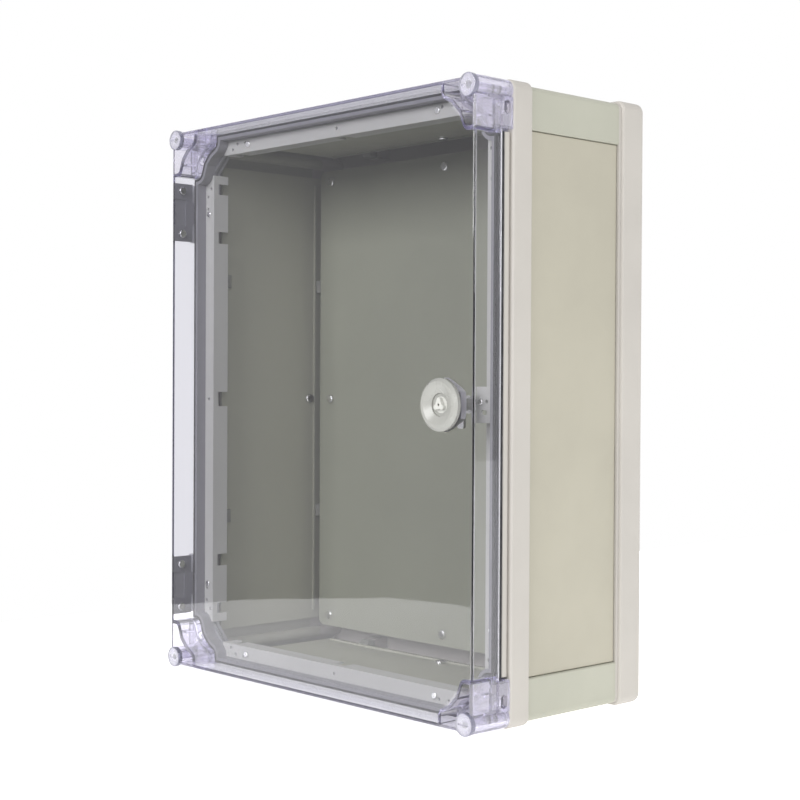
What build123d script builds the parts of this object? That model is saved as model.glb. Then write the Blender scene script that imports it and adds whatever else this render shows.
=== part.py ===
from build123d import *
import os

# Electrical distribution box: a plastic enclosure with a hinged clear cover,
# blank flange plates in its four sides, a mounting plate and punched rails.
# Millimetres. +Z is up and the cover faces -Y. The origin is the centre of the
# back face, in the middle of the four wall-fixing holes.
# "depth" counts back from the cover's front plane, and "inset" counts inwards
# from the outer outline of the bands.

# Overall size
WIDTH = 400.0
HEIGHT = 500.0
DEPTH = 200.0
CORNER_R = 8.0

# Clear cover
COVER_INSET = 2.2
COVER_T = 3.0
COVER_EDGE_R = 2.4
SKIRT_DEPTH = 29.5
BLOCK_FRONT = 28.0
BLOCK_DEPTH = 40.0
BLOCK_GAP = 1.5
BLOCK_INSET = 0.5
BLOCK_SHRINK = 0.7
BLOCK_T = 2.5
CORNER_CUT = 15.0
POCKET_WALL = 2.7
POCKET_DEPTH = 20.0
POCKET_WIDE = 37.0
POCKET_TALL = 40.0
POCKET_LOBE = 13.0
POCKET_NECK_OUT = 27.0
POCKET_NECK_IN = 18.0
POCKET_R = 4.0
POCKET_MARGIN = 6.0
LOBE_RIB_T = 1.8
LOBE_RIB_FROM_END = 9.0
LOBE_RIB_DEPTH = 11.0

# Corner screws and their columns
SCREW_INSET = 9.2
CAP_R = 9.1
CAP_PROUD = 2.2
CAP_T = 4.2
CAP_EDGE_R = 0.9
CAP_GAP = 0.4
CAP_SLOT_W = 1.6
CAP_SLOT_L = 11.0
CAP_SLOT_DEEP = 1.0
COLUMN_R = 8.7
SHAFT_R = 3.0
SHAFT_GAP = 0.6
SEAL_RING_R = 1.1
SEAL_GAP = 0.05
SEAL_DEPTHS = (21.5, 29.0)
WINDOW_W = 7.2
WINDOW_H = 11.0
WINDOW_INSET = 23.0
WINDOW_DEPTH = 33.4

# Cover gasket, sealing collar and lip seal
GASKET_T = 3.8
GASKET_W = 3.2
GASKET_SIDE = 1.3
GASKET_GAP = 0.1
COLLAR_SIDE = 5.3
COLLAR_T = 3.0
COLLAR_DEPTH = 25.0
LIP_SIDE = 3.4
LIP_FRONT = 0.3
LIP_LENGTH = 2.3

# Front frame
STEP = 2.5
FRAME_T = 2.6
LEDGE_T = 2.6
LEDGE_W = 21.5
LEDGE_CORNER = 17.0
CORNER_PLATE_T = 3.0
CORNER_SQUARE = 62.0
GROOVE_FRONT = 37.8
GROOVE_INSET = 4.0
GROOVE_WALL = 2.5
BAND_REAR = 62.0
BAND_T = 5.0
BAND_R = 2.2

# Side openings, corner posts and rear tray
POST_LEG = 37.0
POST_EDGE = 0.9
OPENING_REAR = 169.0
TRAY_FRONT = 172.0
TRAY_EDGE_R = 5.0
BACK_T = 4.0
TIE_INSET = 16.0
TIE_COLUMN_R = 5.2
TIE_R = 2.4
TIE_HOLE_R = 2.5
TIE_HEAD_R = 4.4
TIE_HEAD_T = 2.0
TIE_LENGTH = 150.0
WEB_T = 3.0

# Flange plates
PAD_RECESS = 1.7
PAD_GAP = 0.15
PAD_EDGE = 0.8
SHEET_T = 3.0
RIM_W = 8.0
RUBBER_T = 2.0
BEAD_FRONT = 167.2
BEAD_W = 2.0
BEAD_REACH = 1.6
CLIP_W = 12.0
CLIP_LENGTH = 10.0
CLIP_REACH = 5.0
CLIP_PROUD = 2.5
CLIP_SEAT = 0.3
CLIP_SLOPE = 3.0
RIB_REACH = 6.0
CLIP_FROM_END_SHORT = 48.0
CLIP_FROM_END_LONG = 101.0
KNOB_R = 4.6
KNOB_T = 2.4
KNOB_DEPTH = 162.0

# Mounting plate
PLATE_SIDE_GAP = 23.5
PLATE_END_GAP = 25.0
PLATE_T = 2.0
PLATE_DEPTH = 165.0
PLATE_R = 6.0
PLATE_HOLE_SIDE = 16.5
PLATE_HOLE_END = 11.0
PLATE_SCREW_R = 2.0
PLATE_SCREW_LENGTH = 12.0
PLATE_BOSS_R = 5.5
HEAD_R = 4.2
HEAD_T = 2.6
HOLE_GAP = 0.1

# Wall fixing
FIX_SIDE = 17.5
FIX_END = 32.0
FIX_R = 3.5
FIX_BOSS_R = 6.5
FIX_BOSS_T = 6.0

# Rails behind the front opening
RAIL_INSET = 10.7
RAIL_W = 12.7
RAIL_LEG = 16.4
RAIL_T = 1.5
RAIL_END = 40.0
RAIL_GAP = 0.1
NOTCH_DEEP = 11.0
NOTCH_W = 11.0
NOTCH_MID_W = 13.5
NOTCH_END_W = 9.9
NOTCH_FROM_TIP = 58.0
NOTCH_END_FROM_TIP = 12.6
PUNCH_R = 1.5
PUNCH_OUTER = 3.6
PUNCH_INNER = 8.6
PUNCH_FROM_TIP = (3.8, 19.6, 31.2)
PUNCH_INNER_FROM_TIP = 12.3
RAIL_SCREW_R = 1.4
RAIL_SCREW_ACROSS = 5.7
RAIL_SCREW_FROM_TIP = 36.0
RAIL_HEAD_R = 2.8
RAIL_HEAD_T = 1.4

# Lock and strike
LOCK_INSET = 35.0
DISH_R = 20.5
DISH_PROUD = 6.5
DISH_BEVEL = 2.4
DISH_BOWL_R = 15.5
DISH_BOWL_DEEP = 3.2
DISH_WELL_R = 9.0
DISH_WELL_DEEP = 4.6
LOCK_SEAL_T = 1.0
LOCK_SEAL_R = 17.0
BARREL_R = 11.0
BARREL_DEPTH = 17.0
BARREL_GAP = 0.2
THREAD_GAP = 0.05
NUT_FLAT = 18.0
NUT_T = 6.0
NUT_EDGE = 1.0
CORE_R = 6.5
CORE_GAP = 0.05
KNOB_CORE_R = 3.4
KNOB_LOBE_R = 2.0
KNOB_LOBE_OUT = 3.6
KNOB_LOBES = 3
KNOB_PROUD = 3.0
KEY_PIN_R = 1.1
KEY_PIN_DEEP = 4.0
CORE_DEPTH = 29.0
CORE_FLANGE_R = 8.0
CORE_FLANGE_T = 2.0
CORE_NECK_R = 5.0
CAM_T = 2.4
CAM_HUB_R = 7.0
CAM_LENGTH = 19.0
CAM_DROP = 5.0
CAM_W = 7.0
CAM_CORNER_R = 2.0
CAM_SCREW_R = 2.0
CAM_HEAD_R = 3.8
CAM_HEAD_T = 1.6
STRIKE_DEPTH = 26.0
STRIKE_T = 2.0
STRIKE_GAP = 0.5
STRIKE_W = 15.0
STRIKE_H = 28.0
STRIKE_SCREW_FROM_LEFT = 4.5
STRIKE_SCREW_Z = 2.5
STRIKE_SPACER_R = 3.2
STRIKE_SCREW_R = 1.6
STRIKE_HEAD_R = 2.6
STRIKE_HEAD_T = 1.5
STRIKE_HOLE_FROM_LEFT = 10.5
STRIKE_SLOT_FROM_LEFT = 8.0
STRIKE_SLOT_Z = -6.0
STRIKE_SLOT_L = 7.0
STRIKE_SLOT_W = 3.6

# Hinges on the left side
HINGE_OUT = 5.5
HINGE_DEPTH = 31.5
HINGE_FROM_END = 75.0
HINGE_H = 54.0
HINGE_MIDDLE = 20.0
HINGE_GAP = 0.4
KNUCKLE_R = 4.0
PIN_R = 1.5
PIN_GAP = 0.05
LEAF_FRONT = 3.0
LEAF_REAR = 24.0
LEAF_OUT = 2.8
LEAF_EDGE_R = 1.2
LEAF_RECESS = 1.2
LEAF_RECESS_H = 24.0
LEAF_RECESS_W = 13.0
LEAF_ARM_FRONT = 17.0
LEAF_ARM_REAR = 29.0
LEAF_SCREW_DEPTH = 11.0
LEAF_SCREW_Z = 20.0
LEAF_SCREW_R = 1.8
LEAF_SCREW_REACH = 2.3
LEAF_HEAD_R = 3.8
LEAF_HEAD_T = 2.4
BASE_LEAF_T = 3.0
BASE_LEAF_EDGE_R = 1.2
BASE_LEAF_GAP = 3.0
BASE_LEAF_REAR = 60.0
BASE_LEAF_SCREW_DEPTH = 52.0
BASE_LEAF_SCREW_REACH = 4.0

# Places that follow from the sizes above
SHOULDER = SKIRT_DEPTH + GASKET_T
LEDGE = SHOULDER + FRAME_T
LEDGE_REAR = LEDGE + LEDGE_T
BAND_FRONT = BLOCK_DEPTH
CORNER_PLATE_REAR = BAND_FRONT + CORNER_PLATE_T
RAIL_FACE = LEDGE - RAIL_T
FLOOR_DEPTH = POCKET_DEPTH + COVER_T
COLUMN_BORE_R = SHAFT_R + SHAFT_GAP
BLOCK_REAR = BLOCK_DEPTH - GASKET_GAP * 3
PAD_INSET = STEP + PAD_RECESS
RUBBER_INSET = BAND_T
SHEET_INSET = RUBBER_INSET + RUBBER_T
SHEET_INNER = SHEET_INSET + SHEET_T
SHEET_FRONT = BAND_REAR - RIM_W
SHEET_REAR = OPENING_REAR + RIM_W
BACK_INNER = DEPTH - BACK_T
COVER_LEFT = COVER_INSET - WIDTH / 2
POCKET_WALL_INNER = COVER_INSET + POCKET_WALL
CAP_REAR = CAP_T - CAP_PROUD
LOCK_X = WIDTH / 2 - LOCK_INSET
HINGE_X = -WIDTH / 2 - HINGE_OUT
HINGE_Z = HEIGHT / 2 - HINGE_FROM_END
STRIKE_RIGHT = WIDTH / 2 - COVER_INSET - COLLAR_SIDE - COLLAR_T - STRIKE_GAP
STRIKE_LEFT = STRIKE_RIGHT - STRIKE_W
STRIKE_SCREW_X = STRIKE_LEFT + STRIKE_SCREW_FROM_LEFT
PLATE_W = WIDTH - 2 * PLATE_SIDE_GAP
PLATE_H = HEIGHT - 2 * PLATE_END_GAP
PLATE_HOLE_X = PLATE_W / 2 - PLATE_HOLE_SIDE
PLATE_HOLE_Z = PLATE_H / 2 - PLATE_HOLE_END
FIX_X = WIDTH / 2 - FIX_SIDE
FIX_Z = HEIGHT / 2 - FIX_END
CORE_FRONT = DISH_WELL_DEEP - DISH_PROUD
SCREW_X = WIDTH / 2 - SCREW_INSET
SCREW_Z = HEIGHT / 2 - SCREW_INSET
TIE_X = WIDTH / 2 - TIE_INSET
TIE_Z = HEIGHT / 2 - TIE_INSET
TOP_LENGTH = WIDTH - 2 * POST_LEG
SIDE_LENGTH = HEIGHT - 2 * POST_LEG
SIGNS = ((-1, -1), (1, -1), (-1, 1), (1, 1))
CORNER_NAMES = ("bottom_left", "bottom_right", "top_left", "top_right")
SIDE_TURNS = {"top": 0, "right": 90, "bottom": 180, "left": 270}


def slab(outline, front, rear):
    """Solid from an outline seen from the front, between two depths."""
    return extrude(Plane.XZ.offset(DEPTH - rear) * outline, amount=rear - front)


def rod(x, z, radius, front, rear):
    """Round bar along the depth."""
    return slab(Pos(x, z) * Circle(radius), front, rear)


def bar(across, depths, insets, half):
    """Block on the top side: spans across, in depth, and in inset from the outline."""
    size = (across[1] - across[0], depths[1] - depths[0], insets[1] - insets[0])
    middle = (sum(across) / 2, sum(depths) / 2 - DEPTH, half - sum(insets) / 2)
    return Pos(*middle) * Box(*size)


def pin_across(y, z, radius, x_from, x_to):
    """Round bar along the width."""
    middle = Pos((x_from + x_to) / 2, y, z)
    return middle * Rot(0, 90, 0) * Cylinder(radius, abs(x_to - x_from))


def half_of(side):
    """Distance of a side's outline from the middle."""
    return HEIGHT / 2 if side in ("top", "bottom") else WIDTH / 2


def length_of(side):
    """Length of a side's opening."""
    return TOP_LENGTH if side in ("top", "bottom") else SIDE_LENGTH


def on_side(side, shape):
    """Turn a shape made for the top side onto another side."""
    return Rot(0, SIDE_TURNS[side], 0) * shape


def plan(inset):
    """Outline of the box seen from the front, moved inwards."""
    radius = max(CORNER_R - inset, 1.0)
    return RectangleRounded(WIDTH - 2 * inset, HEIGHT - 2 * inset, radius)


def corner_outline(points, radius):
    """Closed outline with rounded corners, given in insets from one corner."""
    places = []
    for across, down in points:
        places.append((WIDTH / 2 - across, HEIGHT / 2 - down))
    return make_face(FilletPolyline(*places, radius=radius, close=True))


def four(shape):
    """The same outline at all four corners."""
    right = shape + mirror(shape, Plane.XZ)
    return right + mirror(right, Plane.YZ)


def pocket():
    """Outline of one corner pocket of the cover, with its two lobes."""
    out = -POCKET_MARGIN
    points = (
        (out, out),
        (POCKET_WIDE, out),
        (POCKET_WIDE, POCKET_LOBE),
        (POCKET_NECK_OUT, POCKET_NECK_IN),
        (POCKET_NECK_IN, POCKET_NECK_OUT),
        (POCKET_LOBE, POCKET_TALL),
        (out, POCKET_TALL),
    )
    return corner_outline(points, POCKET_R)


def seal_path():
    """Outline of the cover inside its corner pockets, which all seals follow."""
    return plan(COVER_INSET) - four(pocket())


def ring(outline, outer, inner):
    """Band between two inward offsets of an outline."""
    return offset(outline, -outer) - offset(outline, -inner)


def at_ties(make):
    """One shape at each of the four tie screws."""
    shapes = []
    for sign_x, sign_z in SIGNS:
        shapes.append(make(sign_x * TIE_X, sign_z * TIE_Z))
    return shapes


def corner_square(size):
    """Squares at the four corners."""
    side = Pos(WIDTH / 2 - size / 2, HEIGHT / 2 - size / 2) * Rectangle(size, size)
    return four(side)


def corner_web():
    """Diagonal ribs from the corners to the tie columns."""
    span = TIE_INSET - STEP
    middle = STEP + span / 2
    strip = Rot(0, 0, 45) * Rectangle(span * 1.2, WEB_T)
    return four(Pos(WIDTH / 2 - middle, HEIGHT / 2 - middle) * strip)


def pan_head(x, z, radius, height, face_depth):
    """Rounded screw head standing in front of a face."""
    head = rod(x, z, radius, face_depth - height, face_depth)
    rim = head.edges().sort_by(Axis.Y)[0]
    return fillet(rim, height * 0.4)


def make_cover():
    """Clear cover: front plate, skirt, corner pockets, columns and blocks."""
    pockets = four(pocket())
    free_corner = corner_square(CORNER_CUT)
    shell = slab(plan(COVER_INSET), 0, SKIRT_DEPTH)
    shell = fillet(shell.faces().sort_by(Axis.Y)[0].edges(), COVER_EDGE_R)
    shell -= slab(offset(seal_path(), -COVER_T), COVER_T, SKIRT_DEPTH)
    block = plan(BLOCK_INSET) & offset(pockets, -BLOCK_SHRINK)
    shell += slab(block, BLOCK_FRONT, BLOCK_REAR)
    recess = pockets & plan(POCKET_WALL_INNER)
    shell -= slab(recess, -1, POCKET_DEPTH)
    shell += slab(lobe_ribs() & plan(POCKET_WALL_INNER - 1), LOBE_RIB_DEPTH, POCKET_DEPTH)
    hollow = offset(block, -BLOCK_T) & plan(POCKET_WALL_INNER)
    hollow -= corner_square(CORNER_CUT + BLOCK_T)
    shell -= slab(hollow, FLOOR_DEPTH, BLOCK_REAR)
    shell -= slab(free_corner, -1, BLOCK_REAR)
    for sign_x, sign_z in SIGNS:
        shell += rod(sign_x * SCREW_X, sign_z * SCREW_Z, COLUMN_R, CAP_REAR, BLOCK_REAR)
    for sign_x, sign_z in SIGNS:
        shell -= rod(sign_x * SCREW_X, sign_z * SCREW_Z, COLUMN_BORE_R, -1, BLOCK_REAR)
        shell -= rod(sign_x * SCREW_X, sign_z * SCREW_Z, CAP_R + CAP_GAP, -1, CAP_REAR)
        shell -= window(sign_x, sign_z)
    shell -= rod(LOCK_X, 0, BARREL_R + BARREL_GAP, -1, COVER_T)
    for middle in (-HINGE_Z, HINGE_Z):
        for place in (middle - LEAF_SCREW_Z, middle + LEAF_SCREW_Z):
            reach = COVER_LEFT + COVER_T
            shell -= pin_across(LEAF_SCREW_DEPTH - DEPTH, place, LEAF_SCREW_R, COVER_LEFT, reach)
    return shell


def lobe_ribs():
    """Thin ribs across the two lobes of each corner pocket."""
    middle = POCKET_LOBE / 2
    wide = Pos(WIDTH / 2 - POCKET_WIDE + LOBE_RIB_FROM_END, HEIGHT / 2 - middle)
    tall = Pos(WIDTH / 2 - middle, HEIGHT / 2 - POCKET_TALL + LOBE_RIB_FROM_END)
    return four(wide * Rectangle(LOBE_RIB_T, POCKET_LOBE) + tall * Rectangle(POCKET_LOBE, LOBE_RIB_T))


def window(sign_x, sign_z):
    """Six-sided opening in the outer wall of a corner block."""
    points = (
        (-WINDOW_W / 2, -WINDOW_H / 3),
        (0, -WINDOW_H / 2),
        (WINDOW_W / 2, -WINDOW_H / 3),
        (WINDOW_W / 2, WINDOW_H / 3),
        (0, WINDOW_H / 2),
        (-WINDOW_W / 2, WINDOW_H / 3),
    )
    outline = make_face(Polyline(*points, close=True))
    place = Plane(
        origin=(sign_x * WIDTH / 2, WINDOW_DEPTH - DEPTH, sign_z * (HEIGHT / 2 - WINDOW_INSET)),
        x_dir=(0, 1, 0),
        z_dir=(sign_x, 0, 0),
    )
    return extrude(place * outline, amount=-POCKET_WALL_INNER)


def make_corner_screw(sign_x, sign_z):
    """Clear quarter-turn screw: slotted cap and grooved shaft."""
    x = sign_x * SCREW_X
    z = sign_z * SCREW_Z
    cap = rod(x, z, CAP_R, -CAP_PROUD, CAP_REAR)
    cap = fillet(cap.edges().sort_by(Axis.Y)[0], CAP_EDGE_R)
    slot = slab(Pos(x, z) * Rectangle(CAP_SLOT_L, CAP_SLOT_W), -CAP_PROUD, CAP_SLOT_DEEP - CAP_PROUD)
    screw = cap - slot + rod(x, z, SHAFT_R, CAP_REAR, BLOCK_REAR)
    for depth in SEAL_DEPTHS:
        screw -= seal_ring(x, z, depth)
    return screw


def seal_ring(x, z, depth):
    """Round rubber ring in its groove on a corner screw."""
    middle = COLUMN_BORE_R - SEAL_GAP - SEAL_RING_R
    return Pos(x, depth - DEPTH, z) * Rot(90, 0, 0) * Torus(middle, SEAL_RING_R)


def make_corner_seals(sign_x, sign_z):
    """The two sealing rings of one corner screw."""
    rings = []
    for depth in SEAL_DEPTHS:
        rings.append(seal_ring(sign_x * SCREW_X, sign_z * SCREW_Z, depth))
    return Compound(rings)


def opening():
    """Front opening of the frame, with its cut corners."""
    shape = Rectangle(WIDTH - 2 * LEDGE_W, HEIGHT - 2 * LEDGE_W)
    return chamfer(shape.vertices(), LEDGE_CORNER)


def make_frame():
    """Front frame: collar, shoulder, ledge, corner plates and band."""
    clear_pockets = offset(four(pocket()), BLOCK_GAP)
    pocket_walls = offset(four(pocket()), BLOCK_GAP + COLLAR_T) - clear_pockets
    shoulder = plan(STEP) - clear_pockets
    path = seal_path()
    collar_inner = offset(path, -(COLLAR_SIDE + COLLAR_T))
    frame = slab(shoulder - collar_inner, SHOULDER, LEDGE)
    frame += slab(ring(path, COLLAR_SIDE, COLLAR_SIDE + COLLAR_T), COLLAR_DEPTH, SHOULDER)
    frame += slab(shoulder - opening(), LEDGE, LEDGE_REAR)
    walls = (plan(STEP) - plan(GROOVE_INSET + GROOVE_WALL) - clear_pockets) + (pocket_walls & plan(STEP))
    frame += slab(walls, LEDGE_REAR, CORNER_PLATE_REAR)
    frame -= slab(plan(0) - plan(GROOVE_INSET), GROOVE_FRONT, BAND_FRONT)
    band = slab(plan(0), BAND_FRONT, BAND_REAR)
    band = fillet(band.faces().sort_by(Axis.Y)[0].edges(), BAND_R)
    band = fillet(band.faces().sort_by(Axis.Y)[-1].edges(), BAND_R)
    corner = (plan(STEP) & corner_square(CORNER_SQUARE)) - opening()
    band_hollow = slab(plan(BAND_T), BAND_FRONT, BAND_REAR)
    frame += band - (band_hollow - slab(corner, BAND_FRONT, CORNER_PLATE_REAR))
    for column in at_ties(lambda x, z: rod(x, z, TIE_COLUMN_R, CORNER_PLATE_REAR, BAND_REAR)):
        frame += column
    frame += slab(corner_web() & plan(STEP), CORNER_PLATE_REAR, BAND_REAR)
    for side in SIDE_TURNS:
        for rib in clip_ribs(side, LEDGE_REAR, SHEET_FRONT - CLIP_SEAT):
            frame += rib
    for hole in at_ties(lambda x, z: tie_screw(x, z, TIE_HOLE_R - TIE_R)):
        frame -= hole
    for sign_x, sign_z in SIGNS:
        frame -= rod(sign_x * SCREW_X, sign_z * SCREW_Z, SHAFT_R, BAND_FRONT, CORNER_PLATE_REAR)
    for screw in rail_screw_places():
        frame -= rod(*screw, RAIL_SCREW_R, LEDGE, LEDGE_REAR)
    return frame


def tie_screw(x, z, grow):
    """Long countersunk screw from the frame into the tray, or its hole when grown."""
    shank = rod(x, z, TIE_R + grow, BAND_FRONT, BAND_FRONT + TIE_LENGTH + grow)
    head = Pos(x, BAND_FRONT - DEPTH + (TIE_HEAD_T + grow) / 2, z) * Rot(90, 0, 0)
    head = head * Cone(TIE_R + grow, TIE_HEAD_R + grow, TIE_HEAD_T + grow)
    return shank + head


def clip_places(side):
    """Places of the flange clips along one side."""
    from_end = CLIP_FROM_END_SHORT if side in ("top", "bottom") else CLIP_FROM_END_LONG
    step = length_of(side) / 2 - from_end
    return (-step, step)


def clip_ribs(side, front, rear):
    """Short ribs that the flange clips sit against."""
    ribs = []
    for place in clip_places(side):
        across = (place - CLIP_W / 2, place + CLIP_W / 2)
        rib = bar(across, (front, rear), (BAND_T, SHEET_INNER + RIB_REACH), half_of(side))
        ribs.append(on_side(side, rib))
    return ribs


def make_post(sign_x, sign_z):
    """Corner post: two legs, a tie column and a web."""
    size = POST_LEG
    middle = (sign_x * (WIDTH / 2 - size / 2), sign_z * (HEIGHT / 2 - size / 2))
    square = Pos(*middle) * Rectangle(size, size)
    legs = (plan(STEP) - plan(BAND_T)) & square
    column = Pos(sign_x * TIE_X, sign_z * TIE_Z) * Circle(TIE_COLUMN_R)
    web = corner_web() & plan(STEP) & square
    profile = legs + column + web - Pos(sign_x * TIE_X, sign_z * TIE_Z) * Circle(TIE_HOLE_R)
    bevel = Rot(0, 0, 45) * Rectangle(POST_EDGE * 2 ** 0.5, POST_EDGE * 2 ** 0.5)
    profile -= Pos(sign_x * (WIDTH / 2 - STEP), sign_z * (HEIGHT / 2 - size)) * bevel
    profile -= Pos(sign_x * (WIDTH / 2 - size), sign_z * (HEIGHT / 2 - STEP)) * bevel
    return slab(profile, BAND_REAR, OPENING_REAR)


def make_tray():
    """Rear tray: back wall, rear band, bosses and wall-fixing holes."""
    tray = slab(plan(0), TRAY_FRONT, DEPTH)
    tray = fillet(tray.faces().sort_by(Axis.Y)[-1].edges(), TRAY_EDGE_R)
    tray = fillet(tray.faces().sort_by(Axis.Y)[0].edges(), BAND_R)
    tray -= slab(plan(BAND_T), TRAY_FRONT, BACK_INNER)
    tray += slab(plan(STEP) - plan(BAND_T), OPENING_REAR, TRAY_FRONT + BAND_R)
    for column in at_ties(lambda x, z: rod(x, z, TIE_COLUMN_R, OPENING_REAR, BACK_INNER)):
        tray += column
    tray += slab(corner_web() & plan(STEP), OPENING_REAR, BACK_INNER)
    for x, z in plate_screw_places():
        tray += rod(x, z, PLATE_BOSS_R, PLATE_DEPTH + PLATE_T, BACK_INNER)
        tray -= rod(x, z, PLATE_SCREW_R + HOLE_GAP / 2, PLATE_DEPTH, PLATE_DEPTH + PLATE_SCREW_LENGTH + 1)
    for side in SIDE_TURNS:
        for rib in clip_ribs(side, SHEET_REAR + CLIP_PROUD, BACK_INNER):
            tray += rib
    for sign_x, sign_z in SIGNS:
        tray += rod(sign_x * FIX_X, sign_z * FIX_Z, FIX_BOSS_R, BACK_INNER - FIX_BOSS_T, BACK_INNER)
        tray -= rod(sign_x * FIX_X, sign_z * FIX_Z, FIX_R, BACK_INNER - FIX_BOSS_T, DEPTH)
    for hole in at_ties(lambda x, z: tie_screw(x, z, TIE_HOLE_R - TIE_R)):
        tray -= hole
    return tray


def make_flange_plate(side):
    """Blank plate: a raised pad in the opening and a thinner rim behind it."""
    half = half_of(side)
    pad_x = length_of(side) / 2 - PAD_GAP
    rim_x = length_of(side) / 2 + RIM_W - PAD_GAP
    pad = bar((-pad_x, pad_x), (BAND_REAR + PAD_GAP, OPENING_REAR - PAD_GAP), (PAD_INSET, SHEET_INSET), half)
    pad = chamfer(pad.faces().sort_by(Axis.Z)[-1].edges(), PAD_EDGE)
    sheet = bar((-rim_x, rim_x), (SHEET_FRONT, SHEET_REAR), (SHEET_INSET, SHEET_INNER), half)
    bead_insets = (SHEET_INNER, SHEET_INNER + BEAD_REACH)
    bead = bar((-pad_x, pad_x), (BEAD_FRONT, BEAD_FRONT + BEAD_W), bead_insets, half)
    hole = Pos(0, KNOB_DEPTH - DEPTH, half - SHEET_INNER + 1) * Cylinder(PLATE_SCREW_R, 2)
    return on_side(side, pad + sheet + bead - hole)


def make_flange_gasket(side):
    """Rubber frame between the plate's rim and the edges of its opening."""
    half = half_of(side)
    outer_x = length_of(side) / 2 + RIM_W - 1
    inner_x = length_of(side) / 2 + 0.1
    outer = bar((-outer_x, outer_x), (SHEET_FRONT + 1, SHEET_REAR - 1), (RUBBER_INSET, SHEET_INSET), half)
    inner = bar((-inner_x, inner_x), (BAND_REAR + 0.1, OPENING_REAR - 0.1), (RUBBER_INSET, SHEET_INSET), half)
    return on_side(side, outer - inner)


def make_clips():
    """Wedge clips that hold the rims of the flange plates."""
    clips = []
    for side in SIDE_TURNS:
        half = half_of(side)
        for place in clip_places(side):
            across = (place - CLIP_W / 2, place + CLIP_W / 2)
            insets = (SHEET_INNER, SHEET_INNER + CLIP_REACH)
            front = (SHEET_FRONT - CLIP_SEAT, SHEET_FRONT - CLIP_SEAT + CLIP_LENGTH)
            rear_end = SHEET_REAR + CLIP_PROUD
            rear = (rear_end - CLIP_LENGTH, rear_end)
            for depths, end in ((front, -1), (rear, 0)):
                clip = bar(across, depths, insets, half)
                edge = clip.faces().sort_by(Axis.Z)[0].edges().filter_by(Axis.X).sort_by(Axis.Y)[end]
                clips.append(on_side(side, chamfer(edge, CLIP_SLOPE)))
    return Compound(clips)


def make_knobs():
    """Round-headed screws in the middle of the flange plates' rear edges."""
    knobs = []
    for side in SIDE_TURNS:
        half = half_of(side)
        face = half - SHEET_INNER
        head = Pos(0, KNOB_DEPTH - DEPTH, face - KNOB_T / 2) * Cylinder(KNOB_R, KNOB_T)
        head = fillet(head.edges().sort_by(Axis.Z)[0], KNOB_T * 0.5)
        shank = Pos(0, KNOB_DEPTH - DEPTH, face + 0.9) * Cylinder(PLATE_SCREW_R - HOLE_GAP, 1.8)
        knobs.append(on_side(side, head + shank))
    return Compound(knobs)


def plate_screw_places():
    """Centres of the mounting plate's eight screws."""
    places = []
    for x in (-PLATE_HOLE_X, 0, PLATE_HOLE_X):
        for z in (-PLATE_HOLE_Z, 0, PLATE_HOLE_Z):
            if (x, z) != (0, 0):
                places.append((x, z))
    return places


def make_plate():
    """Sheet-metal mounting plate."""
    outline = RectangleRounded(PLATE_W, PLATE_H, PLATE_R)
    for x, z in plate_screw_places():
        outline -= Pos(x, z) * Circle(PLATE_SCREW_R + HOLE_GAP)
    return slab(outline, PLATE_DEPTH, PLATE_DEPTH + PLATE_T)


def make_plate_screws():
    """Pan-head screws of the mounting plate."""
    screws = []
    for x, z in plate_screw_places():
        shank = rod(x, z, PLATE_SCREW_R, PLATE_DEPTH, PLATE_DEPTH + PLATE_SCREW_LENGTH)
        screws.append(pan_head(x, z, HEAD_R, HEAD_T, PLATE_DEPTH) + shank)
    return Compound(screws)


def make_rail(side):
    """L-shaped rail with a notched leg and punched end pads."""
    half = half_of(side)
    tip = (WIDTH if side in ("top", "bottom") else HEIGHT) / 2 - RAIL_END
    inner = RAIL_INSET + RAIL_W
    face = bar((-tip, tip), (RAIL_FACE, LEDGE), (RAIL_INSET, inner), half)
    leg = bar((-tip, tip), (RAIL_FACE, RAIL_FACE + RAIL_LEG), (inner - RAIL_T, inner), half)
    rail = face + leg
    rear = RAIL_FACE + RAIL_LEG
    for place, wide in notches(tip):
        across = (place - wide / 2, place + wide / 2)
        rail -= bar(across, (rear - NOTCH_DEEP, rear), (inner - RAIL_T, inner), half)
    for place, inset, radius in punches(tip):
        hole = Pos(place, RAIL_FACE - DEPTH + RAIL_T / 2, half - inset) * Rot(90, 0, 0)
        rail -= hole * Cylinder(radius, RAIL_T)
    inside_collar = offset(seal_path(), -(COLLAR_SIDE + COLLAR_T + RAIL_GAP))
    return on_side(side, rail) & slab(inside_collar, RAIL_FACE, rear)


def notches(tip):
    """Places and widths of the notches in a rail's leg."""
    found = [(0, NOTCH_MID_W)]
    for sign in (-1, 1):
        found.append((sign * (tip - NOTCH_END_FROM_TIP), NOTCH_END_W))
        if tip > NOTCH_FROM_TIP * 3:
            found.append((sign * (tip - NOTCH_FROM_TIP), NOTCH_W))
    return found


def punches(tip):
    """Places and radii of the holes in a rail's face."""
    found = [(0, RAIL_INSET + RAIL_SCREW_ACROSS, PUNCH_R)]
    for sign in (-1, 1):
        for from_tip in PUNCH_FROM_TIP:
            found.append((sign * (tip - from_tip), RAIL_INSET + PUNCH_OUTER, PUNCH_R))
        found.append((sign * (tip - PUNCH_INNER_FROM_TIP), RAIL_INSET + PUNCH_INNER, PUNCH_R))
        found.append((sign * (tip - RAIL_SCREW_FROM_TIP), RAIL_INSET + RAIL_SCREW_ACROSS, RAIL_SCREW_R))
    return found


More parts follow.
